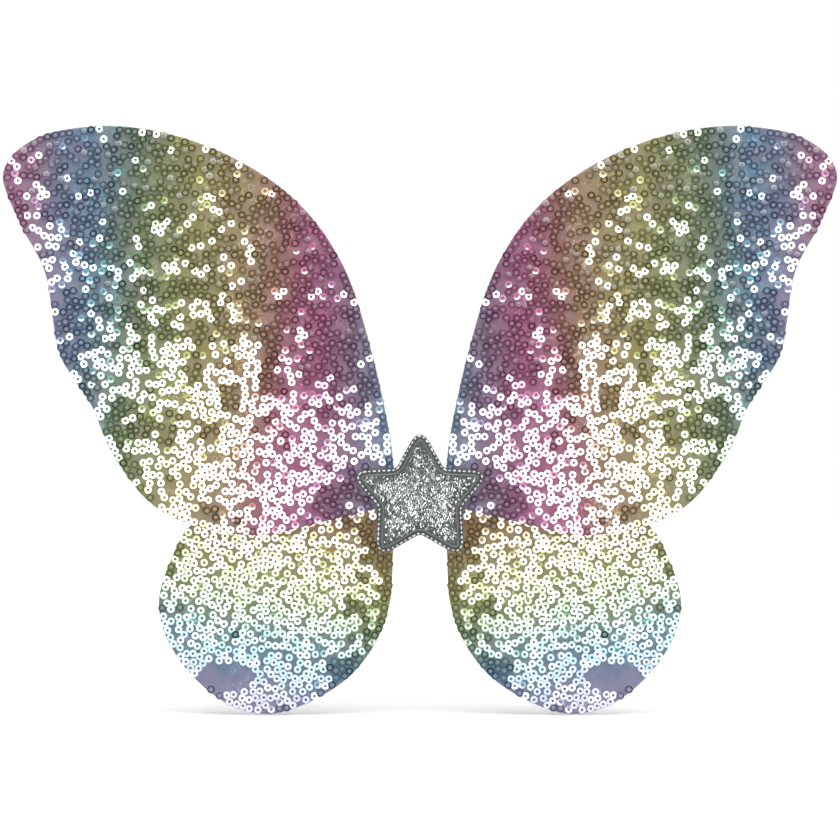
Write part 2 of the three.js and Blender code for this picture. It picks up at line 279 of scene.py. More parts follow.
def facing(faces, places, front):
    """The same faces, turned to face -Y for the front of a piece and +Y for its back."""
    turned = []
    for f in faces:
        a, b, c = (places[i] for i in f[:3])
        is_left_turn = (b[0] - a[0]) * (c[1] - a[1]) - (b[1] - a[1]) * (c[0] - a[0]) > 0
        turned.append(tuple(f) if is_left_turn == front else tuple(reversed(f)))
    return turned


def tube(centres, radii, sides, closed):
    """Rings round a line of 3-D points: (vertices, faces). The rings stand square to the line."""
    centres = np.asarray(centres, float)
    count = len(centres)
    before = np.roll(centres, 1, 0)
    after = np.roll(centres, -1, 0)
    if not closed:
        before[0] = centres[0]
        after[-1] = centres[-1]
    along = after - before
    along /= np.linalg.norm(along, axis=1)[:, None]
    depth = np.array([0.0, 1.0, 0.0])
    across = np.cross(along, depth)
    across /= np.linalg.norm(across, axis=1)[:, None]
    up = np.cross(across, along)
    radii = np.broadcast_to(radii, count)
    vertices, faces = [], []
    for i in range(count):
        for k in range(sides):
            angle = 2 * math.pi * k / sides
            vertices.append(
                centres[i] + radii[i] * (math.cos(angle) * across[i] + math.sin(angle) * up[i])
            )
    for i in range(count if closed else count - 1):
        j = (i + 1) % count
        for k in range(sides):
            m = (k + 1) % sides
            faces.append((i * sides + k, j * sides + k, j * sides + m, i * sides + m))
    if not closed:
        faces.append(tuple(range(sides)))
        faces.append(tuple(reversed(range((count - 1) * sides, count * sides))))
    return vertices, faces


def joined(parts):
    """Several (vertices, faces) as one."""
    vertices, faces = [], []
    for some_vertices, some_faces in parts:
        start = len(vertices)
        vertices.extend(some_vertices)
        faces.extend(tuple(i + start for i in f) for f in some_faces)
    return vertices, faces


def bead(centre, along, length, width, proud=1.0):
    """A rounded bead or stitch that lies along a direction in the XZ plane."""
    rings, sides = 4, 8
    along = Vector((along[0], 0, along[1])).normalized()
    across = Vector((along.z, 0, -along.x)) * width / 2
    depth = Vector((0, -1, 0)) * width / 2 * proud
    vertices = [Vector(centre) - along * length / 2]
    for i in range(rings):
        swing = math.pi * (i + 1) / (rings + 1)
        middle = Vector(centre) - math.cos(swing) * along * length / 2
        for k in range(sides):
            turn = 2 * math.pi * k / sides
            vertices.append(middle + math.sin(swing) * (math.cos(turn) * across + math.sin(turn) * depth))
    vertices.append(Vector(centre) + along * length / 2)
    faces, end, last = [], len(vertices) - 1, 1 + (rings - 1) * sides
    for k in range(sides):
        m = (k + 1) % sides
        faces += [(0, 1 + m, 1 + k), (last + k, last + m, end)]
        faces += [
            (i * sides + 1 + k, i * sides + 1 + m, (i + 1) * sides + 1 + m, (i + 1) * sides + 1 + k)
            for i in range(rings - 1)
        ]
    return vertices, faces


def add_material(obj, material, faces_from=0):
    """Gives the faces from that number on this material."""
    obj.data.materials.append(material)
    number = len(obj.data.materials) - 1
    for face in obj.data.polygons[faces_from:]:
        face.material_index = number
    return obj


def face_attribute(obj, name, values):
    attribute = obj.data.attributes.new(name, "FLOAT", "FACE")
    attribute.data.foreach_set("value", np.asarray(values, np.float32))


def belongs(piece, body, slot, *nodes):
    """Says what a piece rides on and the nodes that it stands for, which it hides. Its slot is not used."""
    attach(piece, body)
    if nodes:
        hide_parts(*nodes)


# ---------------------------------------------------------------- materials


def colour(red, green, blue):
    """A display colour, 0 to 255, as the linear colour that a shader takes."""
    def linear(c):
        c /= 255
        return c / 12.92 if c <= 0.04045 else ((c + 0.055) / 1.055) ** 2.4

    return (linear(red), linear(green), linear(blue), 1.0)


class Look:
    """A node material with short calls for the nodes that these looks use."""

    def __init__(self, name, roughness=0.5, metallic=0.0, specular=0.5):
        self.material = bpy.data.materials.new(name)
        self.material.use_nodes = True
        self.tree = self.material.node_tree
        self.shader = next(n for n in self.tree.nodes if n.type == "BSDF_PRINCIPLED")
        self.set(roughness=roughness, metallic=metallic, specular_ior_level=specular)
        self._place = None

    def set(self, **values):
        names = {s.name.lower().replace(" ", "_"): s for s in self.shader.inputs}
        for name, value in values.items():
            names[name].default_value = value

    def node(self, kind, inputs=(), **settings):
        node = self.tree.nodes.new(kind)
        for name, value in settings.items():
            setattr(node, name, value)
        for name, value in dict(inputs).items():
            socket = node.inputs[name]
            if isinstance(value, bpy.types.NodeSocket):
                self.tree.links.new(value, socket)
            else:
                socket.default_value = value
        return node

    def place(self):
        """Position in the frame's axes, with the piece at rest."""
        if self._place is None:
            self._place = self.node("ShaderNodeTexCoord").outputs["Object"]
        return self._place

    def math(self, operation, a, b=0.0, c=0.0):
        return self.node("ShaderNodeMath", {0: a, 1: b, 2: c}, operation=operation).outputs[0]

    def parts(self, vector=None):
        out = self.node("ShaderNodeSeparateXYZ", {0: vector or self.place()}).outputs
        return out["X"], out["Y"], out["Z"]

    def noise(self, size, detail=2.0, roughness=0.5, vector=None):
        inputs = {
            "Vector": vector or self.place(), "Scale": 1 / size,
            "Detail": detail, "Roughness": roughness,
        }
        return self.node("ShaderNodeTexNoise", inputs).outputs["Fac"]

    def cells(self, size):
        inputs = {"Vector": self.place(), "Scale": 1 / size}
        return self.node("ShaderNodeTexVoronoi", inputs).outputs["Distance"]

    def sewn_dots(self, spacing):
        """The distance from the nearest of the dots on a lobe, in spacings."""
        x, _, z = self.parts(mirrored_place(self))
        flat = self.node("ShaderNodeCombineXYZ", {0: x, 1: z}).outputs[0]
        inputs = {"Vector": flat, "Scale": 1 / spacing, "Randomness": 0.8}
        return self.node("ShaderNodeTexVoronoi", inputs, voronoi_dimensions="2D").outputs["Distance"]

    def ramp(self, value, stops):
        node = self.node("ShaderNodeValToRGB", {"Fac": value})
        elements = node.color_ramp.elements
        while len(elements) < len(stops):
            elements.new(0.5)
        for element, (position, shade) in zip(elements, stops):
            element.position = position
            element.color = shade
        return node.outputs["Color"]

    def ridges(self, along, pitch):
        """The height of ridges, one for each pitch of a distance."""
        return self.math("SINE", self.math("MULTIPLY", along, 2 * math.pi / pitch))

    def between(self, value, low, high, to_low=0.0, to_high=1.0):
        inputs = {"Value": value, "From Min": low, "From Max": high, "To Min": to_low, "To Max": to_high}
        return self.node("ShaderNodeMapRange", inputs).outputs["Result"]

    def mix(self, share, a, b, mode="MIX"):
        inputs = {0: share, 6: a, 7: b}
        return self.node("ShaderNodeMix", inputs, data_type="RGBA", blend_type=mode).outputs[2]

    def shade(self, base, amount, low, high):
        """base, darker or lighter between low and high times as amount goes from 0 to 1."""
        level = self.between(amount, 0.0, 1.0, low, high)
        grey = self.node("ShaderNodeCombineColor", {0: level, 1: level, 2: level}).outputs[0]
        return self.mix(1.0, base, grey, "MULTIPLY")

    def attribute(self, name):
        return self.node("ShaderNodeAttribute", attribute_name=name).outputs["Fac"]

    def finish(self, base, bump=None, bump_depth=0.1 * MM, roughness=None):
        self.tree.links.new(base, self.shader.inputs["Base Color"])
        if bump is not None:
            node = self.node("ShaderNodeBump", {"Height": bump, "Distance": bump_depth, "Strength": 1.0})
            self.tree.links.new(node.outputs["Normal"], self.shader.inputs["Normal"])
        if roughness is not None:
            self.tree.links.new(roughness, self.shader.inputs["Roughness"])
        return self.material


# The printed rainbow. A lobe's hues run along one direction: each stop is a distance along it,
# then the colours there of the mesh and of a sequin's deep band, and a painted highlight colour for a sequin
# that glints.
UPPER_HUES = [
    (18, (118, 138, 160), (48, 78, 106), (120, 190, 218)),
    (34, (130, 112, 136), (66, 48, 76), (170, 172, 214)),
    (46, (142, 96, 126), (78, 24, 56), (212, 150, 204)),
    (60, (160, 94, 128), (94, 8, 52), (232, 138, 194)),
    (72, (156, 96, 118), (92, 18, 44), (238, 148, 188)),
    (84, (152, 108, 98), (82, 38, 24), (240, 180, 172)),
    (96, (156, 130, 100), (86, 56, 16), (242, 212, 168)),
    (114, (156, 142, 98), (82, 66, 8), (234, 228, 146)),
    (132, (150, 146, 94), (72, 70, 4), (220, 226, 132)),
    (150, (140, 144, 98), (62, 70, 10), (196, 222, 136)),
    (168, (118, 134, 100), (40, 58, 24), (158, 216, 166)),
    (182, (108, 132, 128), (30, 52, 50), (138, 208, 206)),
    (200, (110, 134, 158), (28, 54, 84), (120, 198, 228)),
    (218, (122, 126, 154), (44, 50, 80), (150, 190, 228)),
    (232, (148, 118, 144), (84, 42, 72), (214, 164, 204)),
    (242, (160, 114, 144), (98, 40, 74), (230, 160, 198)),
]
LOWER_HUES = [
    (8, (156, 130, 92), (92, 62, 20), (238, 218, 156)),
    (26, (150, 140, 92), (86, 72, 10), (228, 230, 148)),
    (48, (144, 146, 94), (74, 80, 10), (212, 232, 150)),
    (66, (128, 144, 100), (50, 76, 22), (186, 226, 176)),
    (82, (112, 140, 132), (34, 70, 62), (158, 220, 212)),
    (98, (100, 132, 154), (26, 60, 86), (140, 208, 232)),
    (112, (124, 130, 160), (46, 54, 90), (166, 194, 230)),
    (128, (146, 140, 168), (74, 72, 100), (196, 192, 226)),
]
LILAC_MESH = (170, 156, 164)
HUE_BEND = 125  # height, in millimetres, below which the upper lobe's bands start to slant
UPPER_SLANT = 0.16  # how far they then slant for each millimetre of height
LOWER_SLANT = 0.21  # how far the lower lobe's bands climb for each millimetre outwards
HUE_DRIFT = 16  # how far the bands wander, in millimetres


def mirrored_place(look):
    """Position with X measured outwards from the middle, so that both wings match."""
    x, y, z = look.parts()
    return look.node("ShaderNodeCombineXYZ", {0: look.math("ABSOLUTE", x), 1: y, 2: z}).outputs[0]


def hue_place(look, lobe):
    """How far along its rainbow a point of the lobe lies, in millimetres."""
    x, _, z = look.parts()
    out = look.math("MULTIPLY", look.math("ABSOLUTE", x), 1000)
    up = look.math("MULTIPLY", z, 1000)
    if lobe == "upper":
        below = look.math("MINIMUM", look.math("SUBTRACT", up, HUE_BEND), 0)
        slant = look.between(out, 30, 90, 0.0, UPPER_SLANT)
        along = look.math("MULTIPLY_ADD", below, slant, out)
    else:
        along = look.math("MULTIPLY_ADD", out, LOWER_SLANT, -18)
        along = look.math("SUBTRACT", along, up)
    drift = look.noise(26 * MM, vector=mirrored_place(look))
    return look.math("ADD", along, look.math("MULTIPLY_ADD", drift, HUE_DRIFT, -HUE_DRIFT / 2))


def hues(look, lobe, which):
    stops = UPPER_HUES if lobe == "upper" else LOWER_HUES
    low, high = stops[0][0], stops[-1][0]
    value = look.between(hue_place(look, lobe), low, high)
    return look.ramp(value, [((s[0] - low) / (high - low), colour(*s[which])) for s in stops])


def mesh_weave(look, pitch):
    """The height of a fine knitted mesh: two sets of threads that cross."""
    x, _, z = look.parts()
    one = look.ridges(look.math("ADD", x, z), pitch)
    two = look.ridges(look.math("SUBTRACT", x, z), pitch)
    return look.math("MAXIMUM", one, two)


def printed_mesh(name, lobe, front):
    """Knitted mesh, printed in the rainbow and paler in patches. On the front, thin crinkle lines take the
    glint colour as a painted highlight.
    """
    look = Look(name, roughness=0.7, specular=0.12)
    patches = look.between(look.noise(9 * MM, 3, vector=mirrored_place(look)), 0.35, 0.7)
    pale = look.between(patches, 0, 1, 0.0, 0.35) if front else look.between(patches, 0, 1, 0.25, 0.5)
    base = look.mix(pale, hues(look, lobe, 1), colour(*LILAC_MESH))
    weave = mesh_weave(look, 0.9 * MM)
    base = look.shade(base, look.between(weave, -0.4, 1.0), 0.78, 1.05)
    if front:
        # Painted highlight: thin crinkle lines, in patches, take the glint colour.
        crinkle_lines = look.math("ABSOLUTE", look.math("SUBTRACT", look.noise(4 * MM, 3), 0.5))
        where = look.between(look.noise(17 * MM), 0.48, 0.64)
        painted_crinkle_glint = look.math("MULTIPLY", look.between(crinkle_lines, 0.0, 0.03, 0.9, 0.0), where)
        base = look.mix(painted_crinkle_glint, base, hues(look, lobe, 3))
    height = weave
    if not front:
        dots = look.sewn_dots(4.9 * MM)
        ring = look.math("MULTIPLY", look.between(dots, 0.4, 0.46, 0.32, 0.0), look.between(dots, 0.12, 0.2))
        base = look.mix(ring, base, hues(look, lobe, 2))
        knot = look.between(dots, 0.05, 0.11, 0.9, 0.0)
        base = look.mix(knot, base, colour(232, 228, 236))
        height = look.math("MULTIPLY_ADD", knot, 3.0, weave)
    return look.finish(base, height, 0.12 * MM)


def sequin_look(name, lobe):
    """Clear glossy plastic. Its colour comes from a face attribute: a nearly white painted highlight at 0,
    a painted glint colour at 0.2, the colour of the mesh at 0.5 and the ring's deep dye at 1."""
    look = Look(name, specular=0.6)
    look.set(ior=2.1)
    dye_and_painted_light = look.attribute("dye_and_painted_light")
    painted_glint = hues(look, lobe, 3)
    base = look.mix(look.between(dye_and_painted_light, 0.0, 0.2), look.mix(0.42, painted_glint, (1, 1, 1, 1)), painted_glint)
    base = look.mix(look.between(dye_and_painted_light, 0.2, 0.5), base, hues(look, lobe, 1))
    deep = look.mix(0.2, hues(look, lobe, 2), (0, 0, 0, 1))
    base = look.mix(look.between(dye_and_painted_light, 0.5, 1.0), base, deep)
    return look.finish(base, roughness=look.between(look.attribute("gloss"), 0, 1, 0.9, 0.13))


def brushed_wire():
    look = Look("steel_wire", roughness=0.32, metallic=1.0)
    grain = look.noise(0.5 * MM, 4)
    base = look.shade(colour(196, 197, 202), grain, 0.85, 1.05)
    return look.finish(base, grain, 0.02 * MM, look.between(grain, 0.3, 0.7, 0.24, 0.42))


def silver_cloth():
    look = Look("silver_cloth", roughness=0.45, metallic=0.5)
    weave = mesh_weave(look, 0.8 * MM)
    spots = look.noise(1.1 * MM, 3)
    base = look.shade(colour(110, 116, 114), look.between(spots, 0.3, 0.7), 0.4, 1.3)
    height = look.math("MULTIPLY_ADD", spots, 3.0, weave)
    return look.finish(base, height, 0.14 * MM)


def silver_flakes():
    look = Look("silver_flakes", roughness=0.25, metallic=0.9)
    # Each flake's tone is random, and darker towards the star's top point as painted shade.
    lively = look.attribute("lively")
    base = look.shade(colour(214, 219, 219), lively, 0.2, 1.1)
    return look.finish(base)


def grained(name, shade, grain, darkest, lightest, bump_depth, **settings):
    """One colour, varied and roughened by a fine grain. The grain is its size, its detail and,
    where it isn't the usual, its roughness."""
    look = Look(name, **settings)
    height = look.noise(*grain)
    return look.finish(look.shade(colour(*shade), height, darkest, lightest), height, bump_depth)


def silver_thread(name, shade, metallic):
    grain = (0.45 * MM, 3)
    return grained(name, shade, grain, 0.6, 1.15, 0.06 * MM, roughness=0.35, metallic=metallic)


def felt(name, shade):
    look = Look(name, roughness=0.95, specular=0.2)
    look.set(sheen_weight=0.35, sheen_roughness=0.6)
    fibres = look.noise(0.7 * MM, 6, 0.7)
    blotches = look.noise(6 * MM, 2)
    base = look.shade(colour(*shade), look.between(fibres, 0.3, 0.7), 0.72, 1.12)
    base = look.shade(base, blotches, 0.9, 1.08)
    return look.finish(base, fibres, 0.3 * MM)


def woven_elastic():
    look = Look("woven_elastic", roughness=0.75, specular=0.3)
    look.set(sheen_weight=0.2, sheen_roughness=0.5)
    x, _, z = look.parts()
    round_loop = look.math("ADD", look.math("ABSOLUTE", x), look.math("ABSOLUTE", z))
    picks = look.ridges(round_loop, 1.1 * MM)
    grain = look.noise(0.6 * MM, 3)
    base = look.shade(colour(236, 234, 238), look.between(picks, -1, 1), 0.86, 1.0)
    base = look.shade(base, grain, 0.93, 1.04)
    return look.finish(base, look.math("ADD", picks, grain), 0.07 * MM)


def open_foam():
    look = Look("open_foam", roughness=0.9, specular=0.2)
    pores = look.cells(0.9 * MM)
    base = look.shade(colour(112, 113, 116), look.between(pores, 0.1, 0.6), 0.55, 1.1)
    return look.finish(base, pores, 0.3 * MM)


def satin_ribbon():
    look = Look("satin_ribbon", roughness=0.38, specular=0.5)
    look.set(sheen_weight=0.3)
    _, _, z = look.parts()
    threads = look.ridges(z, 0.35 * MM)
    base = look.shade(colour(246, 245, 243), look.between(threads, -1, 1), 0.92, 1.0)
    return look.finish(base, threads, 0.02 * MM)


LOOKS = {
    "steel_wire": brushed_wire(),
    "silver_cloth": silver_cloth(),
    "silver_flakes": silver_flakes(),
    "bright_cord": silver_thread("bright_cord", (238, 240, 241), metallic=0.35),
    "dull_cord": silver_thread("dull_cord", (116, 121, 120), metallic=0.4),
    "dark_cord": silver_thread("dark_cord", (90, 96, 95), metallic=0.4),
    "grey_felt": felt("grey_felt", (128, 129, 131)),
    "elastic": woven_elastic(),
    "board": grained("card_board", (206, 202, 192), (2.2 * MM, 5), 0.86, 1.06, 0.05 * MM, roughness=0.7),
    "foam": open_foam(),
    "wadding": grained(
        "soft_wadding", (240, 240, 236), (1.5 * MM, 6, 0.7), 0.85, 1.03, 0.4 * MM,
        roughness=1.0, specular=0.1,
    ),
    "thread": grained(
        "sewing_thread", (214, 206, 216), (0.35 * MM, 2), 0.8, 1.05, 0.05 * MM,
        roughness=0.6, specular=0.4,
    ),
    "satin": satin_ribbon(),
}
for each_lobe in ("upper", "lower"):
    for kind in ("front", "back", "hem"):
        name = f"{each_lobe}_printed_{kind}"
        LOOKS[f"{each_lobe}_{kind}"] = printed_mesh(name, each_lobe, front=kind != "back")
    LOOKS[f"{each_lobe}_sequin"] = sequin_look(f"{each_lobe}_sequin", each_lobe)


# ---------------------------------------------------------------- the lobes


def mirrored(obj, name):
    """The same piece for the right wing."""
    mesh = obj.data.copy()
    mesh.transform(Matrix.Diagonal((-1, 1, 1, 1)))
    mesh.flip_normals()
    return new_object(name, mesh)


class Lobe:
    """One lobe of the left wing: its outline, its depths and the surface that its cloth takes."""

    def __init__(self, name):
        self.name = name
        self.node = f"left_{name}"
        self.outline = smooth_closed(outline_of(f"{self.node}_front_cloth"), 1.6 * MM)
        self.inside = Inside(self.outline)
        wire_low, wire_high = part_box(f"{self.node}_wire")
        self.depth = (wire_low.y + wire_high.y) / 2
        tail_low, tail_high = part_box(f"{self.node}_wire_tail")
        self.tail_height = (tail_low.z + tail_high.z) / 2
        self.inner_edge = self.outline[:, 0].min()

    def relief(self, places):
        """How far the front cloth stands out from the wire's depth: tight over the hem, a little
        slacker and faintly rippled inside it."""
        depths = self.inside(places)
        inner = np.clip((depths - 2 * MM) / (14 * MM), 0, 1)
        inner = inner * inner * (3 - 2 * inner)
        ripple = np.array([
            0.3 * MM * noise.noise((x / (30 * MM), z / (24 * MM), self.depth / MM))
            + 0.12 * MM * noise.noise((x / (9 * MM), z / (9 * MM), 5.0))
            for x, z in places
        ])
        return CLOTH_RISE - CLOTH_DIP * inner + ripple * np.clip(depths / (6 * MM), 0, 1)

    def sheet(self, front):
        places, faces = filled(inset(self.outline, 1.2 * MM), CLOTH_STEP, 2.4 * MM)
        relief = self.relief(places)
        y = self.depth - relief if front else self.depth + 0.95 * relief
        vertices = np.column_stack([places[:, 0], y, places[:, 1]])
        kind = "front" if front else "back"
        obj = mesh_object(f"{self.node}_{kind}_mesh", vertices, facing(faces, places, front))
        return add_material(obj, LOOKS[f"{self.name}_{kind}"])

    def hem_roll(self):
        """The rolled hem over the wire, left open where the wire ends leave it."""
        line = inset(self.outline, HEM_INSET)
        near_tail = (abs(line[:, 1] - self.tail_height) < 5 * MM) & (
            line[:, 0] < self.inner_edge + 6 * MM
        )
        start = next(i for i in range(len(line)) if near_tail[i - 1] and not near_tail[i])
        line = np.roll(line, -start, 0)[~np.roll(near_tail, -start)]
        steps = np.linalg.norm(np.diff(line, axis=0), axis=1)
        along = np.concatenate([[0], np.cumsum(steps)])
        pucker = [
            HEM_RADIUS * (1 + 0.05 * math.sin(2 * math.pi * s / STITCH_PITCH)
                          + 0.07 * noise.noise((s / (7 * MM), self.depth / MM, 0)))
            for s in along
        ]
        pucker[0] = pucker[-1] = 0.75 * HEM_RADIUS
        centres = np.column_stack([line[:, 0], np.full(len(line), self.depth), line[:, 1]])
        obj = mesh_object(f"{self.node}_hem_roll", *tube(centres, pucker, 10, closed=False))
        return add_material(obj, LOOKS[f"{self.name}_hem"])

    def hem_stitches(self):
        """A row of running stitches inside the hem, on the back."""
        line = smooth_closed(inset(self.outline, STITCH_INSET), STITCH_PITCH)
        depths = self.depth + 0.95 * self.relief(line) + 0.08 * MM
        beads = [
            bead((x, depth, z), following - (x, z), STITCH_LENGTH, 0.55 * MM, 0.8)
            for (x, z), depth, following in zip(line, depths, np.roll(line, -1, 0))
        ]
        obj = mesh_object(f"{self.node}_hem_stitches", *joined(beads))
        return add_material(obj, LOOKS["thread"])


# Where a lobe catches more light, or less: how far out and up the patch is in millimetres, how
# wide and tall it is, and what it adds to the share of bright sequins.
BRIGHT_PATCHES = {
    "upper": [
        (227, 165, 9, 26, 0.9),
        (204, 110, 13, 18, -0.8),
        (186, 82, 15, 18, 0.5),
        (174, 36, 15, 20, -0.8),
        (156, 78, 14, 18, 0.35),
        (196, 158, 14, 16, 0.25),
        (216, 140, 12, 14, 0.45),
        (88, 110, 26, 20, -0.55),
        (66, 145, 16, 22, -0.35),
        (112, 84, 12, 24, 0.3),
        (72, 56, 14, 14, 0.25),
        (44, 74, 17, 32, -0.85),
        (40, 3, 18, 13, -1.6),
        (38, 40, 14, 20, 0.6),
        (100, -10, 26, 9, -0.4),
        (186, 60, 14, 14, -0.15),
        (150, 145, 34, 26, 0.14),
    ],
    "lower": [
        (24, -60, 21, 42, -1.05),
        (144, -28, 12, 10, -0.3),
        (120, -78, 14, 12, 0.35),
        (50, -102, 13, 16, -0.9),
        (157, -78, 7, 26, -0.7),
        (36, -18, 16, 9, -0.9),
        (90, -108, 10, 12, 0.4),
    ],
}


CHANCE_FALL = 0.0065  # on the upper lobe, for each millimetre above CHANCE_FROM
CHANCE_FROM = 12
# Near a lobe's edge fewer sequins are turned to the light and painted pale: shade along the edge.
SHADED_EDGE = 5 * MM  # fewer sequins are bright this near a lobe's edge
CLUSTER_SIZE = 12  # about how far apart bright clusters lie, in millimetres
CLUSTER_STRENGTH = 3.2


def catches_light(name, x, z, edge_distance):
    """About how likely a sequin is to face the viewer, from 0 to 1, in clusters that share it.
    The lower parts lie flatter."""
    out, up = x / MM, z / MM
    near_edge = max(0.0, 1 - edge_distance / SHADED_EDGE)
    if name == "upper":
        chance = max(0.03, 0.99 - CHANCE_FALL * max(0.0, up - CHANCE_FROM)) - 0.35 * near_edge
    else:
        chance = 1.2 - near_edge
    for patch_out, patch_up, wide, tall, change in BRIGHT_PATCHES[name]:
        chance += change * math.exp(-(((out - patch_out) / wide) ** 2) - ((up - patch_up) / tall) ** 2)
    chance = min(0.98, max(0.02, chance))
    layer = 3.0 if name == "upper" else 7.0
    clusters = noise.noise((out / CLUSTER_SIZE, up / CLUSTER_SIZE, layer))
    return chance + CLUSTER_STRENGTH * clusters * math.sqrt(chance * (1 - chance))


class Spaced:
    """Places that keep a least distance from one another, sorted into cells to be found quickly."""

    def __init__(self, spacing):
        self.spacing = spacing
        self.cells, self.places = {}, []

    def cell(self, x, z):
        return int(x // self.spacing), int(z // self.spacing)

    def has_room(self, x, z):
        column, row = self.cell(x, z)
        return all(
            (x - a) ** 2 + (z - b) ** 2 >= self.spacing**2
            for i in (-1, 0, 1)
            for j in (-1, 0, 1)
            for a, b in self.cells.get((column + i, row + j), ())
        )

    def add(self, x, z):
        self.places.append((x, z))
        self.cells.setdefault(self.cell(x, z), []).append((x, z))


def sewn_places(lobe, barred, seed):
    """Centres of a lobe's sequins. They are sewn in short wandering lines, the first of them
    along the edge, and each sequin overlaps the one before it a little."""
    pick = random.Random(seed)
    sewn = Spaced(SEQUIN_GAP)
    wanted = round(abs(area_of(lobe.outline)) * SEQUINS_PER_AREA[lobe.name])

    def clear(x, z):
        on_cloth = lobe.inside((x, z))[0] >= SEQUIN_EDGE and not barred(x, z)
        return on_cloth and sewn.has_room(x, z)

    for x, z in smooth_closed(inset(lobe.outline, SEQUIN_EDGE + 0.5 * MM), 4.4 * MM):
        x, z = x + pick.gauss(0, 0.35 * MM), z + pick.gauss(0, 0.35 * MM)
        if pick.random() < 0.85 and clear(x, z):
            sewn.add(x, z)
    low, high = lobe.outline.min(0), lobe.outline.max(0)
    for _ in range(40 * wanted):
        if len(sewn.places) >= wanted:
            break
        x, z = pick.uniform(low[0], high[0]), pick.uniform(low[1], high[1])
        heading = pick.uniform(0, 2 * math.pi)
        for _ in range(pick.randint(1, 4)):
            if not clear(x, z):
                break
            sewn.add(x, z)
            for _ in range(6):
                turned = heading + pick.gauss(0, 0.8)
                step = pick.uniform(*SEQUIN_STEP)
                next_x, next_z = x + step * math.cos(turned), z + step * math.sin(turned)
                if clear(next_x, next_z):
                    break
            x, z, heading = next_x, next_z, turned
    return sewn.places


def sequin_pose(chance, pick):
    """Tilt up and across and cupping in degrees, the colour values of the hub, of the ring's two bands and
    of the rim, and how many times its usual size the hub is. A bright sequin's bands are a nearly white
    painted highlight and its hub a deep colour as painted shade in the hole; a glinting sequin's outer
    band is a pale painted glint colour."""
    roll = pick.random()
    if roll < chance:
        # Bright: near-white bands as a painted highlight, a deep hub as painted shade in its hole.
        painted_highlight = abs(pick.gauss(0, 0.07))
        return pick.gauss(0, 1.3), pick.gauss(0, 1.7), 0.5, (0.95, painted_highlight, painted_highlight, 0.85), 1.0
    if roll < 1.15 * chance + 0.07:
        # Glinting: the outer band is a pale painted glint colour.
        pale = pick.uniform(0.1, 0.4)
        return pick.uniform(4, 9), pick.uniform(-8, 8), 6.0, (0.7, 0.4, pale, 0.8), 1.1
    deep = pick.uniform(0.78, 1.0)
    return pick.uniform(13, 19), pick.uniform(-7, 7), 1.0, (0.62, 0.62, deep, 1.0), pick.uniform(1.0, 1.3)


def sequin_shape(cupping, wide):
    """A sequin's rings of points, facing -Y: two for its hub, three for its ring and two for its
    turned-back rim."""
    slope = math.tan(math.radians(cupping))
    hub, band = wide * SEQUIN_HUB, min(wide * SEQUIN_BAND, 0.7 * SEQUIN_RIM)
    rings = [(SEQUIN_HOLE, HUB_DEPTH), (hub, 0.0)]
    rings += [(r, slope * (r - hub)) for r in (hub, band, SEQUIN_RIM)]
    rings += [(SEQUIN_RIM, rings[-1][1]), (SEQUIN_RADIUS, rings[-1][1] + RIM_DEPTH)]
    turns = [2 * math.pi * k / SEQUIN_SIDES for k in range(SEQUIN_SIDES)]
    return np.array([(r * math.cos(t), y, r * math.sin(t)) for r, y in rings for t in turns])


def sequin_faces():
    """The faces of a sequin: the hub, the ring's inner and outer bands, the rim."""
    faces = []
    for inner, outer in ((0, 1), (2, 3), (3, 4), (5, 6)):
        for k in range(SEQUIN_SIDES):
            m = (k + 1) % SEQUIN_SIDES
            faces.append((
                inner * SEQUIN_SIDES + k, outer * SEQUIN_SIDES + k,
                outer * SEQUIN_SIDES + m, inner * SEQUIN_SIDES + m,
            ))
    return np.array(faces)


def sequins(lobe, places, covered):
    """All of a lobe's sequins as one piece. They lie flat where another piece covers them."""
    pick = random.Random(5)
    edges = lobe.inside(places)
    relief = lobe.relief(places)
    one_faces = sequin_faces()
    vertices, faces, dyes_and_painted_light = [], [], []
    for (x, z), edge_distance, rise in zip(places, edges, relief):
        chance = catches_light(lobe.name, x, z, edge_distance)
        up, across, cupping, dye_and_painted_light, wide = sequin_pose(chance, pick)
        lift = pick.uniform(0.12, 0.5) * MM
        if covered(x, z):
            up, across, lift = 0.1 * up, 0.1 * across, 0.4 * lift
        tilt = Matrix.Rotation(math.radians(-up), 3, "X") @ Matrix.Rotation(math.radians(across), 3, "Z")
        clearance = 0.7 * SEQUIN_RADIUS * math.sin(math.radians(math.hypot(up, across)))
        shape = sequin_shape(cupping, wide) @ np.array(tilt).T
        faces.append(one_faces + len(vertices) * len(shape))
        vertices.append(shape + np.array([x, lobe.depth - rise - lift - clearance, z]))
        dyes_and_painted_light.append(np.repeat(dye_and_painted_light, SEQUIN_SIDES))
    obj = mesh_object(f"{lobe.node}_sequins", np.concatenate(vertices), np.concatenate(faces))
    # This attribute holds the sequins' dye, the painted highlights of bright and glinting sequins and the
    # painted shade in bright sequins' holes.
    face_attribute(obj, "dye_and_painted_light", np.concatenate(dyes_and_painted_light))
    face_attribute(obj, "gloss", np.tile(np.repeat((0, 1, 1, 0.3), SEQUIN_SIDES), len(places)))
    return add_material(obj, LOOKS[f"{lobe.name}_sequin"])


def bare_patch(x, z):
    """The sequins have come off a small patch near the bottom of each lower lobe."""
    return ((x - 116 * MM) / (19 * MM)) ** 2 + ((z + 106 * MM) / (9 * MM)) ** 2 < 1


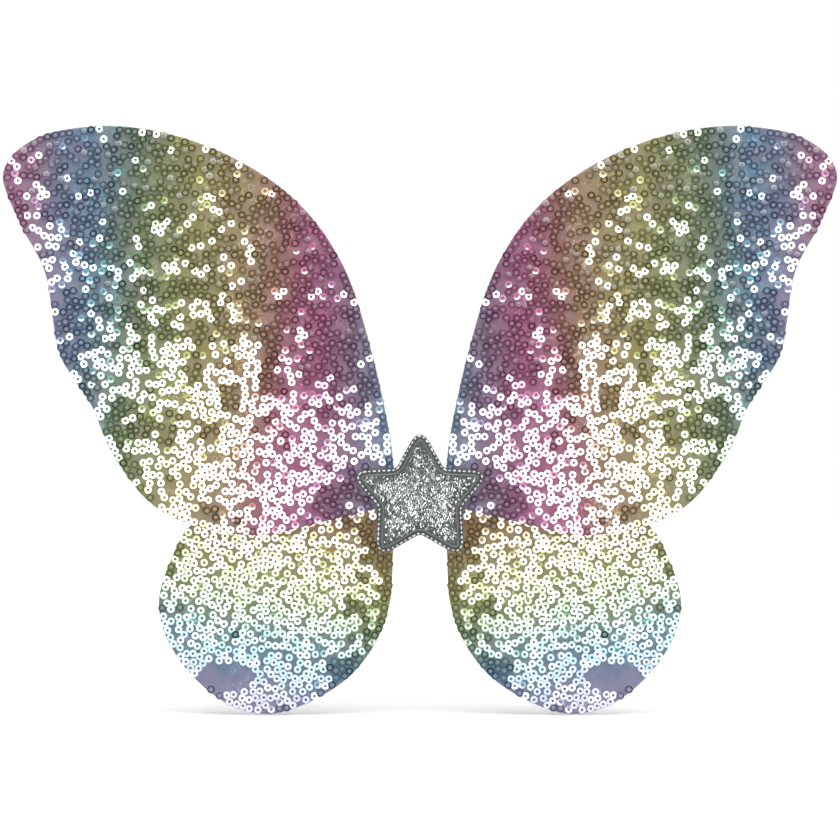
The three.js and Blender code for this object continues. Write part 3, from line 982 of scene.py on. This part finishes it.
def declare_lobe(lobe, side, made):
    """Says what each of a lobe's pieces rides on and replaces."""
    front, back, hem, stitches, discs = made
    wing, node = f"{side}_wing", f"{side}_{lobe.name}"
    belongs(front, wing, "sequined_mesh", f"{node}_front_cloth")
    belongs(back, wing, "plain_mesh", f"{node}_back_cloth")
    belongs(hem, wing, "plain_mesh", f"{node}_hem")
    belongs(stitches, wing, "thread")
    belongs(discs, wing, "sequined_mesh")


def build_wings():
    near_star = Inside(outline_of("star_backing"))
    upper, lower = Lobe("upper"), Lobe("lower")

    def under_star(x, z):
        return near_star((x, z))[0] > -1.2 * MM

    def bare_on_lower(x, z):
        return under_star(x, z) or bare_patch(x, z)

    def under_upper(x, z):
        return upper.inside((x, z))[0] > -2 * MM

    patterns = {
        upper: (sewn_places(upper, under_star, 11), lambda x, z: False),
        lower: (sewn_places(lower, bare_on_lower, 12), under_upper),
    }
    for lobe, (places, covered) in patterns.items():
        made = [
            lobe.sheet(True), lobe.sheet(False), lobe.hem_roll(), lobe.hem_stitches(),
            sequins(lobe, places, covered),
        ]
        twins = [mirrored(piece, piece.name.replace("left", "right")) for piece in made]
        declare_lobe(lobe, "left", made)
        declare_lobe(lobe, "right", twins)


# ---------------------------------------------------------------- the star


def pillow(name, outline, front, back, rounding, step=1.4 * MM):
    """A closed soft piece between two depths, its edge rounded over that distance."""
    rings = [share * rounding for share in (0.08, 0.3, 0.65, 1.0)]
    places, faces = filled(outline, step, step, rings)
    depths = distance_in(smooth_closed(outline, step), places)
    share = np.clip(depths / rounding, 0, 1)
    bulge = np.sqrt(np.maximum(0, 1 - (1 - share) ** 2))
    middle, half = (front + back) / 2, (back - front) / 2
    vertices = [(x, middle - half * b, z) for (x, z), b in zip(places, bulge)]
    vertices += [(x, middle + half * b, z) for (x, z), b in zip(places, bulge)]
    behind = [tuple(i + len(places) for i in f) for f in facing(faces, places, False)]
    obj = mesh_object(name, vertices, facing(faces, places, True) + behind)
    weld(obj)
    return obj


def weld(obj):
    """Joins vertices that lie at the same point."""
    bm = bmesh.new()
    bm.from_mesh(obj.data)
    bmesh.ops.remove_doubles(bm, verts=bm.verts, dist=1e-6)
    bm.to_mesh(obj.data)
    bm.free()
    obj.data.shade_smooth()


def star_relief(edge_distance):
    """How far the star's cover stands out from its rear, from its flat rim to its puffed middle."""
    rise = np.clip((edge_distance - 1.2 * MM) / (17 * MM), 0, 1)
    return STAR_RIM + STAR_PUFF * np.sin(rise * math.pi / 2) ** 0.8


def star_cover(edge, rear):
    places, faces = filled(inset(edge, 0.15 * MM), 1.2 * MM, 1.0 * MM)
    depths = distance_in(edge, places)
    creases = np.array([0.16 * MM * noise.noise((x / (4 * MM), z / (4 * MM), 1)) for x, z in places])
    y = rear - star_relief(depths) - creases * np.clip(depths / (6 * MM), 0, 1)
    vertices = [(x, depth, z) for (x, z), depth in zip(places, y)]
    obj = mesh_object("star_glitter_cover", vertices, facing(faces, places, True))
    return add_material(obj, LOOKS["silver_cloth"])


def star_flakes(edge, inside, rear):
    """Slivers of silver foil on the star's cover, each at its own slant and most of them upright.
    They thin out towards the top point and the edges, and are painted darker towards the top point as
    painted shade."""
    places = scatter(edge, inside, FLAKE_SPACING, FLAKE_INSET, 21)
    step = 0.4 * MM
    rises = star_relief(inside(places))
    slope_x = (star_relief(inside(places + (step, 0))) - rises) / step
    slope_z = (star_relief(inside(places + (0, step))) - rises) / step
    pick = random.Random(22)
    top = edge[:, 1].max()
    vertices, faces, lively = [], [], []
    for (x, z), depth, rise, sx, sz in zip(places, inside(places), rises, slope_x, slope_z):
        shadowed = max(0.0, (z - 0.25 * top) / (0.75 * top))
        middle = min(1.0, (depth - FLAKE_INSET) / (6 * MM))
        if pick.random() > 0.5 + 0.5 * middle - 0.15 * shadowed:
            continue
        spread = 10 + 9 * shadowed
        normal = Vector((0.25 * sx, -1, 0.25 * sz + 0.2 * shadowed)).normalized()
        slant = Matrix.Rotation(math.radians(pick.gauss(0, spread)), 3, "X")
        normal = slant @ Matrix.Rotation(math.radians(pick.gauss(0, spread)), 3, "Z") @ normal
        turn = pick.gauss(math.pi / 2, 0.6)
        across = normal.cross(Vector((math.cos(turn), 0, math.sin(turn)))).normalized()
        along = across.cross(normal)
        long, wide = pick.uniform(0.5, 1.1) * MM, pick.uniform(0.24, 0.42) * MM
        centre = Vector((x, rear - rise - 0.35 * MM, z))
        start = len(vertices)
        for a, b in ((1, 0.2), (0.5, 1), (-0.6, 0.9), (-1, -0.2), (-0.4, -1), (0.6, -0.9)):
            vertices.append(centre + a * long * along + b * wide * across)
        faces.append(tuple(range(start, start + 6)))
        # Each flake's tone is random, and darker towards the top point as painted shade.
        lively.append(pick.uniform(0.25, 1.0) * (1 - 0.4 * shadowed))
    obj = mesh_object("star_foil_flakes", vertices, faces, smooth=False)
    face_attribute(obj, "lively", lively)
    return add_material(obj, LOOKS["silver_flakes"])


def scatter(outline, inside, spacing, margin, seed):
    """Places scattered in the outline, none nearer than spacing to another."""
    pick = random.Random(seed)
    low, high = outline.min(0), outline.max(0)
    tries = int(9 * (high[0] - low[0]) * (high[1] - low[1]) / spacing**2)
    tried = np.array([
        (pick.uniform(low[0], high[0]), pick.uniform(low[1], high[1])) for _ in range(tries)
    ])
    chosen = Spaced(spacing)
    for x, z in tried[inside(tried) > margin]:
        if chosen.has_room(x, z):
            chosen.add(x, z)
    return np.array(chosen.places)


def cord_round(edge, distance, radius, depth, step, ridges=0.0):
    """A cord that follows the star's edge, ridged by its winding: (vertices, faces)."""
    line = smooth_closed(inset(edge, distance), step)
    radii = [radius * (1 + ridges * math.sin(2 * math.pi * i / 3)) for i in range(len(line))]
    centres = np.column_stack([line[:, 0], np.full(len(line), depth), line[:, 1]])
    return tube(centres, radii, 8, closed=True)


def star_outer_cord(edge, rear):
    """Bright beads sewn round the edge between two thin dark cords."""
    cords = [
        cord_round(edge, CORD_INSET, CORD_RADIUS, rear - 0.9 * MM, 0.8 * MM),
        cord_round(edge, BRAID_INSET, CORD_RADIUS, rear - 1.15 * MM, 0.8 * MM),
    ]
    row = smooth_closed(inset(edge, BEAD_INSET), BEAD_PITCH)
    pick = random.Random(31)
    beads = []
    for i, (x, z) in enumerate(row):
        direction = row[(i + 1) % len(row)] - row[i - 1]
        length = BEAD_LENGTH * pick.uniform(0.55, 1.15)
        width = BEAD_WIDTH * pick.uniform(0.6, 1.1)
        beads.append(bead((x, rear - 1.2 * MM, z), direction, length, width))
    cord = joined(cords)
    obj = mesh_object("star_outer_edging", *joined([cord, *beads]))
    add_material(obj, LOOKS["dark_cord"])
    return add_material(obj, LOOKS["bright_cord"], faces_from=len(cord[1]))


def star_inner_cord(edge, rear):
    """A soft grey cord inside the beads, with a ridge for each turn of its winding."""
    depth = rear - float(star_relief(np.array([INNER_CORD_INSET]))[0]) - 0.1 * MM
    cord = cord_round(edge, INNER_CORD_INSET, INNER_CORD_RADIUS, depth, 0.35 * MM, ridges=0.12)
    return add_material(mesh_object("star_inner_edging", *cord), LOOKS["dull_cord"])


def build_star():
    edge = smooth_closed(outline_of("star_backing"), 0.9 * MM)
    inside = Inside(edge, step=0.5 * MM)
    backing_low, backing_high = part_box("star_backing")
    backing = pillow("star_felt_backing", edge, backing_low.y, backing_high.y, 0.6 * MM)
    add_material(backing, LOOKS["grey_felt"])
    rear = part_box("star_cover")[1].y
    padding_low, padding_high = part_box("star_padding")
    padding_edge = smooth_closed(outline_of("star_padding"), 1.2 * MM)
    padding = pillow("star_wadding", padding_edge, padding_low.y, padding_high.y, 6 * MM)
    add_material(padding, LOOKS["wadding"])
    cover, flakes = star_cover(edge, rear), star_flakes(edge, inside, rear)
    outer, inner = star_outer_cord(edge, rear), star_inner_cord(edge, rear)
    belongs(backing, "centre", "grey_felt", "star_backing")
    belongs(padding, "centre", "wadding", "star_padding")
    belongs(cover, "centre", "silver_cloth", "star_cover")
    belongs(flakes, "centre", "silver_cloth")
    belongs(outer, "centre", "silver_cord", "star_outer_cord")
    belongs(inner, "centre", "silver_cord", "star_inner_cord")


# ---------------------------------------------------------------- the centre


def bevelled_core():
    """The foam core with its sharp edges softened."""
    core = new_object("foam_core", frame["nodes"]["centre_core"].data.copy())
    core.data.materials.clear()
    bm = bmesh.new()
    bm.from_mesh(core.data)
    bmesh.ops.remove_doubles(bm, verts=bm.verts, dist=1e-6)
    bmesh.ops.dissolve_limit(bm, angle_limit=0.02, verts=bm.verts, edges=bm.edges)
    sharp = [e for e in bm.edges if e.calc_face_angle(0) > 0.5]
    bmesh.ops.bevel(bm, geom=sharp, offset=0.35 * MM, segments=2, affect="EDGES")
    bmesh.ops.triangulate(bm, faces=bm.faces)
    bm.to_mesh(core.data)
    bm.free()
    return add_material(core, LOOKS["foam"])


def build_centre():
    low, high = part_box("back_pad")
    edge = evenly(outline_of("back_pad"), 1 * MM)
    pad = pillow("felt_back_pad", edge, low.y, high.y, 1.5 * MM)
    add_material(pad, LOOKS["grey_felt"])
    row = evenly(inset(edge, PAD_STITCH_INSET), PAD_STITCH_PITCH)
    beads = [
        bead((x, high.y - 0.08 * MM, z), following - (x, z), PAD_STITCH_LENGTH, 0.5 * MM)
        for (x, z), following in zip(row, np.roll(row, -1, 0))
    ]
    stitches = mesh_object("pad_stitches", *joined(beads))
    add_material(stitches, LOOKS["thread"])
    add_material(frame["nodes"]["centre_plate"], LOOKS["board"])
    frame["nodes"]["centre_plate"].data.materials.pop(index=0)
    core = bevelled_core()
    belongs(pad, "centre", "grey_felt", "back_pad")
    belongs(stitches, "centre", "thread")
    belongs(core, "centre", "foam", "centre_core")


# ---------------------------------------------------------------- straps, wires, tacks, label


def ribbed_ribbon(centres, widths, thickness, half_width):
    """An elastic ribbon: a flat section with ribs along it, carried down a line."""
    count = len(centres)
    across_steps = 2 * STRAP_RIBS + 1
    section = []
    for k in range(across_steps):
        share = 2 * k / (across_steps - 1) - 1
        edge = math.sqrt(max(0.0, 1 - abs(share) ** 8))
        section.append((share, (0.72 + 0.28 * (k % 2)) * max(0.35, edge)))
    loop = section + [(s, -t) for s, t in reversed(section)]
    vertices, faces = [], []
    for i in range(count):
        along = (centres[min(i + 1, count - 1)] - centres[max(i - 1, 0)]).normalized()
        wide = (widths[i] - along * widths[i].dot(along)).normalized()
        thick = along.cross(wide)
        for share, height in loop:
            vertices.append(centres[i] + wide * half_width * share + thick * thickness / 2 * height)
    size = len(loop)
    for i in range(count - 1):
        for k in range(size):
            m = (k + 1) % size
            faces.append((i * size + k, i * size + m, (i + 1) * size + m, (i + 1) * size + k))
    faces.append(tuple(reversed(range(size))))
    faces.append(tuple(range((count - 1) * size, count * size)))
    return vertices, faces


def strap_line(side):
    """The strap's centre line and the direction of its width, from its upper root to its lower."""
    sign = SIDES[side]
    swing = next(j for j in frame["joints"] if j["name"] == f"{side}_strap_swing")
    low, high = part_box(f"{side}_strap")
    tab_low, tab_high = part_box(f"{side}_upper_strap_tab")
    fold = abs(swing["pos_m"][0])
    reach = max(abs(low.x), abs(high.x))
    root_depth = (tab_low.y + tab_high.y) / 2
    root_height = (tab_low.z + tab_high.z) / 2
    loop_depth = high.y - (tab_high.z - tab_low.z) / 2
    thickness = tab_high.y - tab_low.y
    tall = high.z - thickness / 2
    wide = (reach - thickness / 2 - fold - STRAP_NECK) / 2
    middle = reach - thickness / 2 - wide
    first, steps = math.pi - STRAP_OPENING, 65
    arc = [first - first * i / steps for i in range(steps + 1)]
    root = [Vector((fold + d * MM, 0, root_height)) for d in range(5)]
    upper = root + [Vector((middle + wide * math.cos(a), 0, tall * math.sin(a))) for a in arc]
    line = upper + [Vector((p.x, 0, -p.z)) for p in reversed(upper[:-1])]
    line = round_off(line)
    along = np.concatenate([[0], np.cumsum([(b - a).length for a, b in zip(line, line[1:])])])
    centres, widths = [], []
    for i, point in enumerate(line):
        from_root = min(along[i], along[-1] - along[i])
        share = min(1.0, from_root / STRAP_TWIST)
        share = share * share * (3 - 2 * share)
        before, after = line[max(i - 1, 0)], line[min(i + 1, len(line) - 1)]
        heading = (after - before).normalized()
        flat = Vector((-heading.z, 0, heading.x))
        turn = share * math.pi / 2
        width = math.cos(turn) * flat + math.sin(turn) * Vector((0, 1, 0))
        depth = root_depth + share * (loop_depth - root_depth)
        centres.append(Vector((sign * point.x, depth, point.z)))
        widths.append(Vector((sign * width.x, width.y, width.z)))
    return centres, widths, thickness, (tab_high.z - tab_low.z) / 2


def round_off(line, passes=12):
    """The same open line with its corners eased."""
    for _ in range(passes):
        line = [line[0]] + [
            (a + 2 * b + c) / 4 for a, b, c in zip(line, line[1:], line[2:])
        ] + [line[-1]]
    return line


def build_straps():
    for side, sign in SIDES.items():
        centres, widths, thickness, half_width = strap_line(side)
        obj = mesh_object(f"{side}_elastic_loop", *ribbed_ribbon(centres, widths, thickness, half_width))
        add_material(obj, LOOKS["elastic"])
        belongs(obj, f"{side}_strap", "white_elastic", f"{side}_strap")
        for level in ("upper", "lower"):
            node = f"{side}_{level}_strap_tab"
            low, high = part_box(node)
            depth, height = (low.y + high.y) / 2, (low.z + high.z) / 2
            inner = min(abs(low.x), abs(high.x))
            outer = abs(centres[0].x)
            steps = 12
            line = [
                Vector((sign * (inner + (outer - inner) * i / steps), depth, height))
                for i in range(steps + 1)
            ]
            flat = [Vector((0, 0, 1))] * len(line)
            tab = mesh_object(f"{node}_end", *ribbed_ribbon(line, flat, thickness, half_width))
            add_material(tab, LOOKS["elastic"])
            belongs(tab, "centre", "white_elastic", node)


def build_wires():
    """The frame's wires and tails keep their shape, and a bent length joins each pair of them."""
    for side, sign in SIDES.items():
        for level in ("upper", "lower"):
            for node in (f"{side}_{level}_wire", f"{side}_{level}_wire_tail"):
                wire = frame["nodes"][node]
                wire.data.materials.clear()
                add_material(wire, LOOKS["steel_wire"])
            low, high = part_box(f"{side}_{level}_wire_tail")
            radius = (high.y - low.y) / 2
            depth, height = (low.y + high.y) / 2, (low.z + high.z) / 2
            wing_low, wing_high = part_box(f"{side}_{level}_wire")
            start = max(abs(low.x), abs(high.x))
            end = min(abs(wing_low.x), abs(wing_high.x))
            strand = (high.z - low.z) / 2 - radius
            parts = []
            for offset in (-strand, strand):
                line = [
                    (sign * (start - 0.6 * MM + (end - start + 1.6 * MM) * i / 10), depth, height + offset)
                    for i in range(11)
                ]
                parts.append(tube(line, radius * 1.02, 12, closed=False))
            bend = mesh_object(f"{side}_{level}_wire_bend", *joined(parts))
            add_material(bend, LOOKS["steel_wire"])
            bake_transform(bend)


def build_tacks():
    """Each tack as a small crossed knot of thread on both sides, with its stem between them."""
    for side in SIDES:
        for place in ("outer", "inner"):
            node = f"{side}_{place}_tack"
            low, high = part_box(node)
            x, z = (low.x + high.x) / 2, (low.z + high.z) / 2
            reach = (high.x - low.x) * 0.9
            stem = [(x, low.y + 0.3 * MM, z), (x + 1e-5, high.y - 0.3 * MM, z)]
            parts = [tube(stem, 0.4 * MM, 6, closed=False)]
            for y in (low.y + 0.25 * MM, high.y - 0.2 * MM):
                for turn in (0.5, 1.3, 2.4, 2.9):
                    parts.append(bead((x, y, z), (math.cos(turn), math.sin(turn)), reach, 0.5 * MM, 0.7))
            knot = mesh_object(f"{node}_knot", *joined(parts))
            add_material(knot, LOOKS["thread"])
            belongs(knot, f"{side}_wing", "thread", node)


def build_label():
    """A blank care label, its lower end curling a little off the cloth."""
    low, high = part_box("care_label")
    columns, rows = 8, 16
    vertices, faces = [], []
    for r in range(rows + 1):
        down = r / rows
        for c in range(columns + 1):
            x = low.x + (high.x - low.x) * c / columns
            curl = 1.6 * MM * max(0.0, down - 0.45) ** 1.6
            wave = 0.25 * MM * down * math.sin(3.2 * c / columns + 1.5 * down)
            vertices.append((x, high.y + curl + wave, high.z + (low.z - high.z) * down))
    for r in range(rows):
        for c in range(columns):
            a = r * (columns + 1) + c
            faces.append((a, a + 1, a + columns + 2, a + columns + 1))
    label = mesh_object("blank_care_label", vertices, faces)
    thicken = label.modifiers.new("thickness", "SOLIDIFY")
    thicken.thickness = 0.18 * MM
    add_material(label, LOOKS["satin"])
    row = [(low.x + (high.x - low.x) * (k + 0.5) / 6, high.z - 1.5 * MM) for k in range(6)]
    beads = [bead((x, high.y + 0.12 * MM, z), (1, 0), 1.6 * MM, 0.45 * MM, 0.7) for x, z in row]
    stitches = mesh_object("label_stitches", *joined(beads))
    add_material(stitches, LOOKS["thread"])
    belongs(label, "left_wing", "satin", "care_label")
    belongs(stitches, "left_wing", "thread")


# ---------------------------------------------------------------- stage, lights and camera


def soft_light(name, place, aim, width, height, radiance):
    """A rectangular soft light whose face has that brightness."""
    light = bpy.data.lights.new(name, "AREA")
    light.shape = "RECTANGLE"
    light.size, light.size_y = width, height
    light.energy = radiance * math.pi * width * height
    obj = new_object(name, light)
    obj.location = place
    obj.rotation_euler = (Vector(aim) - Vector(place)).to_track_quat("-Z", "Y").to_euler()
    obj.visible_camera = False


def studio_world():
    """White where the camera looks past the floor, and only a faint cool light on the wings."""
    world = bpy.data.worlds.new("studio")
    world.use_nodes = True
    tree = world.node_tree
    tree.nodes.clear()
    choose = tree.nodes.new("ShaderNodeMixShader")
    path = tree.nodes.new("ShaderNodeLightPath")
    tree.links.new(path.outputs["Is Camera Ray"], choose.inputs[0])
    for number, shade, strength in ((1, (0.93, 0.96, 1, 1), 0.06), (2, (1, 1, 1, 1), 1.0)):
        background = tree.nodes.new("ShaderNodeBackground")
        background.inputs["Color"].default_value = shade
        background.inputs["Strength"].default_value = strength
        tree.links.new(background.outputs[0], choose.inputs[number])
    out = tree.nodes.new("ShaderNodeOutputWorld")
    tree.links.new(choose.outputs[0], out.inputs[0])
    return world


def build_stage():
    look = Look("pale_floor", roughness=0.9, specular=0.1)
    grain = look.noise(0.08, 3)
    paper = look.finish(look.shade(colour(250, 250, 250), grain, 0.985, 1.0))
    ground = cad_box[0][2] - 0.8 * MM
    corners = [
        (x * FLOOR_REACH, y * FLOOR_REACH, ground) for x, y in ((-1, -1), (1, -1), (1, 1), (-1, 1))
    ]
    floor = mesh_object("floor", corners, [(0, 1, 2, 3)])
    add_material(floor, paper)

    bpy.context.scene.world = studio_world()

    sun = bpy.data.lights.new("overhead", "SUN")
    sun.energy = 3.4
    sun.angle = math.radians(75)
    overhead = new_object("overhead", sun)
    overhead.rotation_euler = Vector((-0.12, 0.22, -1)).to_track_quat("-Z", "Y").to_euler()

    soft_light("front_box", (0, -2.5, 0.04), (0, 0, 0.04), 1.8, 1.1, 5.4)
    for sign in (-1, 1):
        soft_light("side_box", (2.2 * sign, -1.9, 0.5), (0, 0, 0.05), 0.7, 1.3, 1.6)
        soft_light("rear_box", (1.6 * sign, 2.2, 0.6), (0, 0, 0.05), 1.4, 1.4, 4.9)


def build_camera():
    """Straight at the star's side, level, with the wings' whole width across the picture."""
    low, high = cad_box
    camera = bpy.data.cameras.new("camera")
    camera.sensor_width = 36
    width_seen = (high[0] - low[0]) * 1.006
    cloth_distance = CAMERA_DISTANCE - 0.014
    camera.lens = camera.sensor_width * cloth_distance / width_seen
    camera.clip_start = 0.05
    obj = new_object("camera", camera)
    obj.location = (0, -CAMERA_DISTANCE, (low[2] + high[2]) / 2)
    obj.rotation_euler = (math.pi / 2, 0, 0)
    bpy.context.scene.camera = obj


build_camera()
build_stage()
build_wings()
build_star()
build_centre()
build_straps()
build_wires()
build_tacks()
build_label()
bpy.context.scene.view_settings.view_transform = "Standard"
